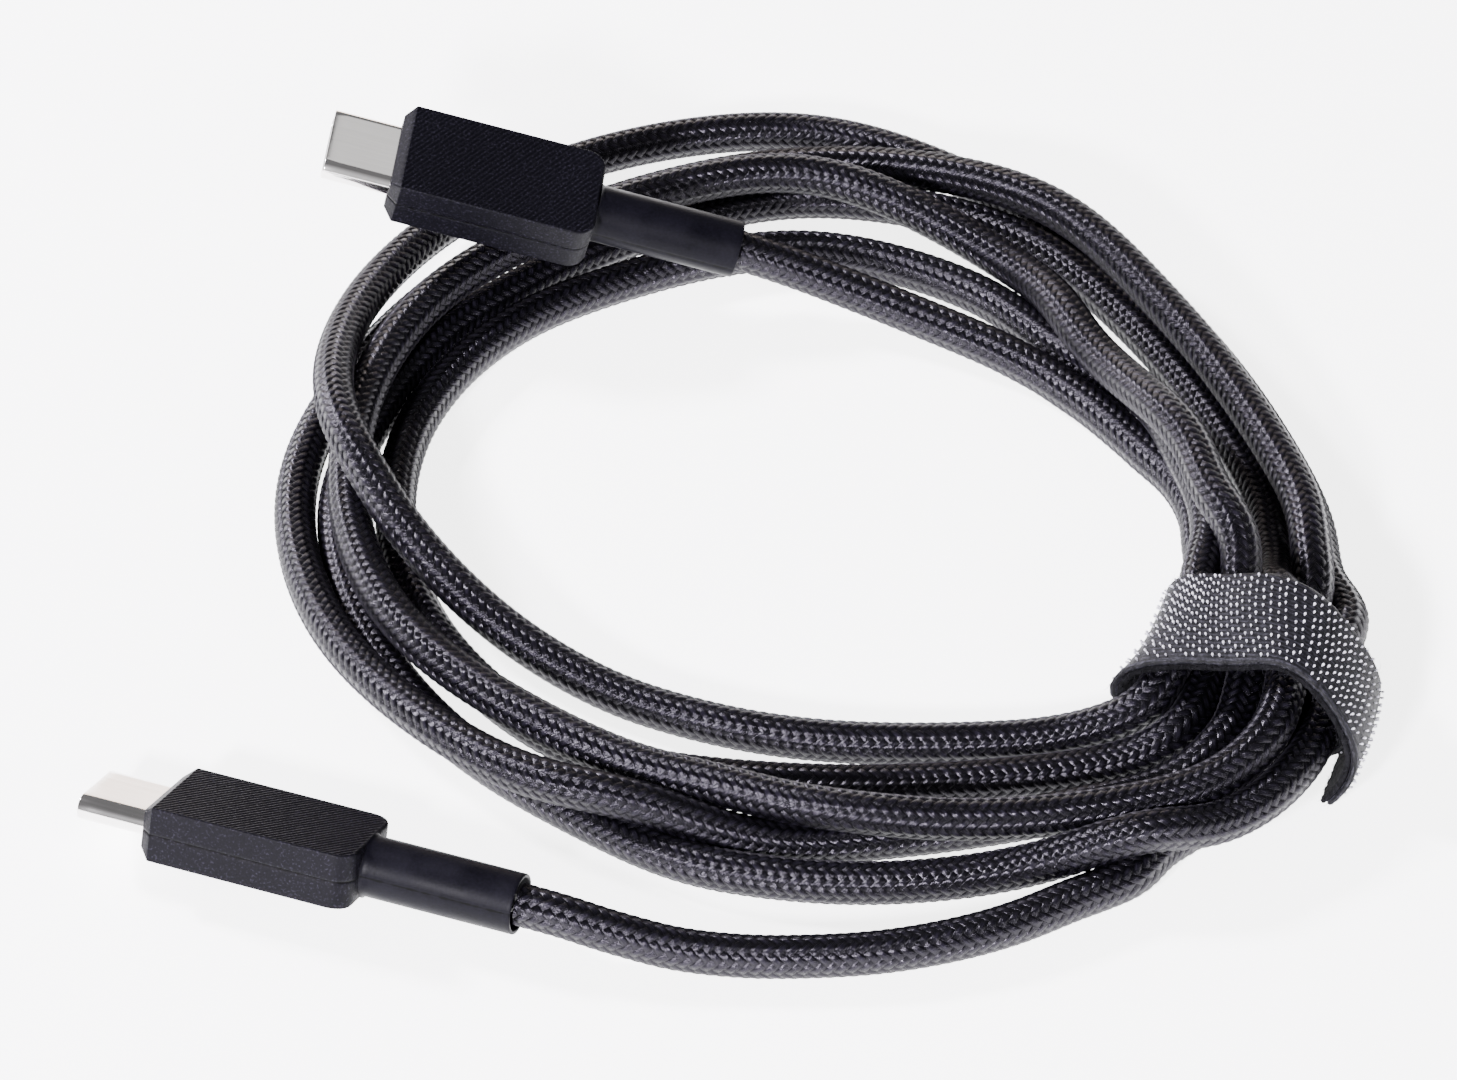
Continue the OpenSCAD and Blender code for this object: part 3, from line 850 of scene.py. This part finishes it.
def strip_table():
    """Place and outward direction of the strip's inner face at every degree of its wrap."""
    stations = np.linspace(-10, 6, 17) * MM
    reach = np.array([reach_of(v) for v in stations])
    beside = np.pad(reach, ((1, 1), (0, 0)), "edge")
    reach = np.maximum(np.maximum(beside[:-2], beside[2:]), reach)
    for k in range(360):
        reach[:, k] = np.convolve(np.pad(reach[:, k], 3, "edge"), np.ones(7) / 7, "valid")
    slope = (np.roll(reach, -1, 1) - np.roll(reach, 1, 1)) / (2 * math.radians(1))
    turn = np.arange(TIE_START, TIE_LEAVES - 1, -1)
    a = np.radians(turn)
    k = turn % 360
    out = np.stack([np.cos(a), np.sin(a)], 1)
    side = np.stack([-np.sin(a), np.cos(a)], 1)
    place = reach[:, k, None] * out + slope[:, k, None] * side
    place[..., 1] = np.maximum(place[..., 1], 2 * TIE_LAYER + 0.05 * MM)
    mean = place.mean(0)
    run = run_lengths(mean)
    return stations, place, out, run


STRIP = strip_table()
STRIP_RUN = STRIP[3]
WRAP_END = float(STRIP_RUN[-1])
TIE_END_HEIGHT = 0.5 * MM


def degrees_at(run):
    """Degrees of wrap at a run along the strip."""
    return np.interp(run, STRIP_RUN, np.arange(len(STRIP_RUN)))


def ease(x):
    """From 0 to 1, level at both ends."""
    x = np.clip(x, 0, 1)
    return x * x * (3 - 2 * x)


CREST = float(STRIP_RUN[TIE_START + 270])


def strip_point(run, v, depth):
    """A place on the strip: run along it, v across its width, depth outward from its inner face."""
    run, v, depth = np.broadcast_arrays(*(np.asarray(x, float) for x in (run, v, depth)))
    stations, place, out, _ = STRIP
    drift = -5.2 * MM * ease((run - CREST) / (WRAP_END + 6 * MM - CREST))
    across = v + drift
    row = np.clip((across - stations[0]) / (stations[1] - stations[0]), 0, len(stations) - 1.001)
    column = np.clip(degrees_at(run), 0, len(out) - 1.001)
    i, j = row.astype(int), column.astype(int)
    fi, fj = (row - i)[..., None], (column - j)[..., None]
    near = place[i, j] * (1 - fj) + place[i, j + 1] * fj
    far = place[i + 1, j] * (1 - fj) + place[i + 1, j + 1] * fj
    at = near * (1 - fi) + far * fi
    normal = out[j] * (1 - fj) + out[j + 1] * fj
    over = (2 * TIE_LAYER + 0.08 * MM) * ease((run - WRAP_END + 15 * MM) / (8 * MM))
    at = at + normal * (over + depth)[..., None]
    beyond = np.maximum(run - WRAP_END, 0)
    hang = math.radians(4)
    at = at + beyond[..., None] * np.array([math.sin(hang), -math.cos(hang)])
    at[..., 0] -= beyond**2 / (9.5 * MM)
    return TIE_MIDDLE + at[..., :1] * TIE_ACROSS + across[..., None] * TIE_ALONG + at[..., 1:] * TIE_UP


def strip_outward(run, v):
    """The direction out of the strip's outer face."""
    near = strip_point(run, v, 0)
    far = strip_point(run, v, 0.5 * MM)
    out = far - near
    return out / np.linalg.norm(out, axis=-1)[..., None]


HINGE = np.array(JOINTS["tie_end_peel"]["pos_m"])
EDGES = np.array([-TIE_W / 2, 0, TIE_W / 2])
SHOULDER = WRAP_END
while strip_point(SHOULDER, EDGES, 0)[:, 2].min() < HINGE[2] + PEEL_FOLD:
    SHOULDER -= 0.1 * MM
SHOULDER = (math.floor(SHOULDER / HEAD_STEP * 2 - 0.5) + 0.5) * HEAD_STEP / 2
TIE_TIP = WRAP_END
while strip_point(TIE_TIP, 0, TIE_LAYER)[2] > TIE_END_HEIGHT:
    TIE_TIP += 0.1 * MM

DICE = np.random.default_rng(7)


def strip_layer(name, start, end, bottom, top, rough_low, rough_top):
    """One layer of the strip as a closed slab, its faces and edges uneven by so much."""
    runs = np.arange(start, end + 0.2 * MM, 0.3 * MM)
    runs = np.append(runs[runs < end - 0.1 * MM], end)
    vs = np.linspace(-TIE_W / 2, TIE_W / 2, 43)
    edge_jitter = DICE.normal(0, 0.05 * MM, (len(runs), 2))
    round_off = 0.12 * MM
    rows = []
    for i, s in enumerate(runs):
        v_line = vs.copy()
        v_line[0] += edge_jitter[i, 0]
        v_line[-1] += edge_jitter[i, 1]
        lower = bottom + DICE.uniform(0, rough_low, len(vs))
        upper = top - DICE.uniform(0, rough_top, len(vs))
        lower[[0, -1]] += round_off
        upper[[0, -1]] -= round_off
        v_all = np.concatenate([v_line[::-1], [v_line[0] - 0.08 * MM], v_line, [v_line[-1] + 0.08 * MM]])
        middle = [(bottom + top) / 2]
        depth = np.concatenate([upper[::-1], middle, lower, middle])
        rows.append(strip_point(s, v_all, depth))
    columns = np.concatenate([vs[::-1], [vs[0] - 0.2 * MM], vs, [vs[-1] + 0.2 * MM], [vs[-1]]])
    uv = (columns * 1000, runs * 1000)
    return grid_object(name, np.array(rows), close_u=True, uv=uv, uv_name="strip", caps=True)




def hook_heads(name, start, end):
    """Pairs of rounded hook heads on short stems, in staggered rows on the outer face."""
    rows = int(TIE_W / HEAD_ROW) - 1
    places = []
    for row in range(rows):
        v = (row - (rows - 1) / 2) * HEAD_ROW
        first = math.ceil((start + 0.5 * MM) / HEAD_STEP - 0.5 * (row % 2))
        last = math.floor((end - 0.5 * MM) / HEAD_STEP - 0.5 * (row % 2))
        for k in range(first, last + 1):
            s = (k + 0.5 * (row % 2)) * HEAD_STEP
            places += [(s - HEAD_PAIR, v), (s + HEAD_PAIR, v)]
    places = np.array(places)
    places += DICE.normal(0, 0.018 * MM, places.shape)
    base = strip_point(places[:, 0], places[:, 1], 2 * TIE_LAYER - 0.06 * MM)
    out = strip_outward(places[:, 0], places[:, 1])
    ahead = strip_point(places[:, 0] + 0.1 * MM, places[:, 1], 2 * TIE_LAYER) - base
    ahead -= out * (ahead * out).sum(1)[:, None]
    ahead /= np.linalg.norm(ahead, axis=1)[:, None]
    aside = np.cross(out, ahead)
    size = DICE.uniform(0.85, 1.12, len(places))
    profile = [(0, 0.6), (0.13, 0.5), (0.2, 0.95), (0.28, 1), (0.36, 0.72), (0.395, 0.3)]
    sides = 8
    a = 2 * np.pi * np.arange(sides) / sides
    vertices, faces = [], []
    for k in range(len(places)):
        origin = len(vertices)
        for height, wide in profile:
            r = HEAD_R * wide * size[k]
            level = base[k] + out[k] * height * MM * size[k]
            for t in a:
                vertices.append(level + r * (math.cos(t) * ahead[k] + math.sin(t) * aside[k]))
        for ring in range(len(profile) - 1):
            low = origin + ring * sides
            for t in range(sides):
                u = (t + 1) % sides
                faces.append((low + t, low + u, low + sides + u, low + sides + t))
        top = origin + (len(profile) - 1) * sides
        faces.append(tuple(top + t for t in range(sides)))
        faces.append(tuple(origin + t for t in reversed(range(sides))))
    return new_object(name, vertices, faces)


def stray_fibres(name, start, end, frayed):
    """Fine curled fibres standing out of the strip's two edges and its inner face."""
    vertices, faces = [], []
    for _ in range(int((end - start) / MM * FIBRES_PER_MM)):
        s = DICE.uniform(start, end)
        where = DICE.uniform()
        if frayed and where > 0.86:
            s = end - 0.05 * MM
        if where < 0.42:
            v, lean = -TIE_W / 2, -1.0
        elif where < 0.72:
            v, lean = TIE_W / 2, 1.0
        else:
            v, lean = DICE.uniform(-0.5, 0.5) * TIE_W, 0.0
        inward = 0.0 if lean else -1.0
        depth = 0.02 * MM if inward else DICE.uniform(0, 2 * TIE_LAYER)
        root = strip_point(s, v, depth)
        out = strip_outward(s, v)
        ahead = strip_point(s + 0.1 * MM, v, depth) - root
        ahead /= np.linalg.norm(ahead)
        heading = lean * TIE_ALONG + 0.9 * inward * out
        heading = heading + DICE.normal(0, 0.45) * ahead + DICE.normal(0, 0.3) * out
        if s > end - 0.1 * MM:
            heading = ahead + 0.5 * heading
        heading /= np.linalg.norm(heading)
        curl = DICE.normal(0, 1, 3)
        curl -= heading * (curl @ heading)
        curl /= np.linalg.norm(curl) + 1e-9
        reach = FIBRE_LENGTH * DICE.uniform(0.4, 1.1) * (0.45 if inward else 1)
        thick = 0.02 * MM
        aside = np.cross(heading, curl)
        origin = len(vertices)
        steps = 5
        for k in range(steps):
            t = k / (steps - 1)
            at = root + heading * reach * math.sin(1.7 * t) + curl * reach * 0.7 * (1 - math.cos(1.9 * t))
            at[2] = max(at[2], 0.03 * MM)
            radius = thick * (1 - 0.6 * t)
            for angle in (0.5, 2.6, 4.7):
                vertices.append(at + radius * (math.cos(angle) * curl + math.sin(angle) * aside))
        for k in range(steps - 1):
            for t in range(3):
                a, b = origin + 3 * k + t, origin + 3 * k + (t + 1) % 3
                faces.append((a, b, b + 3, a + 3))
        faces.append((origin + 2, origin + 1, origin))
        last = origin + 3 * (steps - 1)
        faces.append((last, last + 1, last + 2))
    return new_object(name, vertices, faces)


def hook_ground_material():
    """Dark knitted ground between the hooks, its threads running along the strip."""
    made, tree, shader = material("hook_ground", (0.02, 0.02, 0.025), 0.6, Specular_IOR_Level=0.15)
    u, v = uv_parts(tree, "strip")
    lanes = calc(tree, "SINE", calc(tree, "MULTIPLY", u, 2 * math.pi / 0.5))
    thread_place = combine(tree, calc(tree, "MULTIPLY", u, 9.0), calc(tree, "MULTIPLY", v, 1.6), 0.0)
    thread = noise(tree, thread_place, 1.0, 3.0, 0.7)
    twist_place = combine(tree, calc(tree, "MULTIPLY", u, 4.0), calc(tree, "MULTIPLY", v, 5.0), 3.0)
    twist = noise(tree, twist_place, 1.0, 2.0)
    mixed = calc(tree, "ADD", calc(tree, "MULTIPLY", thread, 0.7), calc(tree, "MULTIPLY", twist, 0.3))
    mixed = calc(tree, "ADD", mixed, calc(tree, "MULTIPLY", lanes, 0.07))
    tones = [
        (0.38, (0.0016, 0.0016, 0.0021)),
        (0.52, (0.0075, 0.0072, 0.0098)),
        (0.72, (0.042, 0.04, 0.053)),
    ]
    tree.links.new(ramp(tree, mixed, tones), shader.inputs["Base Color"])
    tree.links.new(spread(tree, thread, 0.3, 0.7, 0.7, 0.45), shader.inputs["Roughness"])
    bump(tree, shader, mixed, 0.12 * MM, 0.8)
    return made


def heads_material():
    """Pale melted nylon, its tone uneven from head to head."""
    made, tree, shader = material("hook_heads", (0.8, 0.79, 0.84), 0.3, Specular_IOR_Level=0.5)
    place = object_place(tree)
    cloud = noise(tree, place, 900, 2.0)
    tones = [(0.3, (0.24, 0.23, 0.27)), (0.65, (0.7, 0.69, 0.76))]
    tree.links.new(ramp(tree, cloud, tones), shader.inputs["Base Color"])
    tree.links.new(spread(tree, cloud, 0.3, 0.7, 0.25, 0.4), shader.inputs["Roughness"])
    return made


def pile_material(name, dark, light):
    """Matt fluff, with painted shade that makes it darker where it is deep."""
    made, tree, shader = material(name, dark, 0.9, Specular_IOR_Level=0.08)
    place = object_place(tree)
    fluff = noise(tree, place, 2400, 4.0, 0.7)
    clump = noise(tree, place, 700, 3.0)
    mixed = calc(tree, "MULTIPLY", fluff, calc(tree, "ADD", clump, 0.5))
    # Painted shade: the same noise sets the bump, so the tone is darkest in its hollows.
    tree.links.new(ramp(tree, mixed, [(0.3, dark), (0.75, light)]), shader.inputs["Base Color"])
    bump(tree, shader, mixed, 0.15 * MM, 1.0)
    return made


HOOK_GROUND = hook_ground_material()
HEADS = heads_material()
PILE = pile_material("loop_pile", (0.0015, 0.0015, 0.0018), (0.008, 0.0078, 0.0095))
FIBRE = pile_material("edge_fibre", (0.006, 0.006, 0.007), (0.03, 0.029, 0.035))

tie_parts = []
for piece, start, end in (("tie", 0.0, SHOULDER), ("tie_end", SHOULDER, TIE_TIP)):
    ground = strip_layer(piece + "_ground", start, end, TIE_LAYER, 2 * TIE_LAYER, 0.03 * MM, 0.06 * MM)
    heads = hook_heads(piece + "_heads", start, end)
    pile = strip_layer(piece + "_pile", start, end, 0, TIE_LAYER, 0.14 * MM, 0.02 * MM)
    fibres = stray_fibres(piece + "_fibres", start, end, frayed=piece == "tie_end")
    layers = [
        (ground, HOOK_GROUND, "tie_hooks"),
        (heads, HEADS, "tie_hooks"),
        (pile, PILE, "tie_loops"),
        (fibres, FIBRE, "tie_loops"),
    ]
    for obj, look, slot in layers:
        obj.data.materials.append(look)
        tie_parts.append((piece, obj))

for piece, obj in tie_parts:
    if piece == "tie":
        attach(obj, "tie")
    else:
        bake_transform(obj)
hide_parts("tie_hook_layer")
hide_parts("tie_loop_layer")
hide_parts("tie_end_hooks")
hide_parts("tie_end_loops")

# ---------------------------------------------------------------- joining the pieces to the bodies

CORE_STEP = 1.2 * MM
core_points, _ = even_steps(centreline, CORE_STEP)
core_run = run_lengths(core_points)
inside = (core_run >= BEND_RUN) & (core_run <= core_run[-1] - BEND_RUN)
core_points = core_points[inside]
core = tube("cable_core", core_points, CORE_R, 16)
core.data.materials.append(grained_material("jacket", (0.02, 0.02, 0.022), (0.05, 0.05, 0.055), 0.45, 900))
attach(core, "cable")
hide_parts("coil")

for piece in braids[1:-1]:
    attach(piece, "cable")


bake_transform(braids[0])
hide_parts("tail_1")
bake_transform(braids[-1])
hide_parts("tail_2")

# ---------------------------------------------------------------- stage


def area_light(name, place, size, power, tint=(1, 1, 1)):
    """A rectangle of light, facing the middle of the coil."""
    data = bpy.data.lights.new(name, "AREA")
    data.shape = "RECTANGLE"
    data.size, data.size_y = size
    data.energy = power
    data.color = tint
    light = bpy.data.objects.new(name, data)
    bpy.context.scene.collection.objects.link(light)
    light.location = place
    light.rotation_euler = (-Vector(place)).to_track_quat("-Z", "Y").to_euler()


def make_stage():
    """A pale floor, light from all round that is brighter towards -Y, and five soft lights."""
    floor = grid_object("floor", np.array([[(x, y, 0) for x in (-3, 3)] for y in (-3, 3)], float))
    made, tree, shader = material("floor", (0.93, 0.93, 0.93), 0.7, Specular_IOR_Level=0.1)
    shader.inputs["Emission Color"].default_value = (1, 1, 1, 1)
    shader.inputs["Emission Strength"].default_value = 4.2
    floor.data.materials.append(made)
    world = bpy.data.worlds.new("studio")
    world.use_nodes = True
    background = world.node_tree.nodes["Background"]
    background.inputs["Color"].default_value = (0.97, 0.97, 1, 1)
    toward = world.node_tree.nodes.new("ShaderNodeSeparateXYZ")
    sky = world.node_tree.nodes.new("ShaderNodeTexCoord")
    world.node_tree.links.new(sky.outputs["Generated"], toward.inputs["Vector"])
    glow = spread(world.node_tree, toward.outputs["Y"], -0.95, -0.4, 0.95, 0.22)
    world.node_tree.links.new(glow, background.inputs["Strength"])
    bpy.context.scene.world = world
    area_light("key", (-0.28, -0.62, 0.36), (0.1, 0.08), 21, tint=(0.96, 0.93, 1))
    area_light("left", (-0.5, 0.3, 0.4), (0.1, 0.1), 15, tint=(0.95, 0.92, 1))
    area_light("back", (-0.08, 0.55, 0.07), (0.4, 0.14), 0.8, tint=(1, 0.86, 0.78))
    area_light("over", (0.2, 0.315, 0.5), (0.25, 0.25), 0.2)
    area_light("right", (0.5, -0.5, 0.3), (0.1, 0.1), 2)


make_stage()
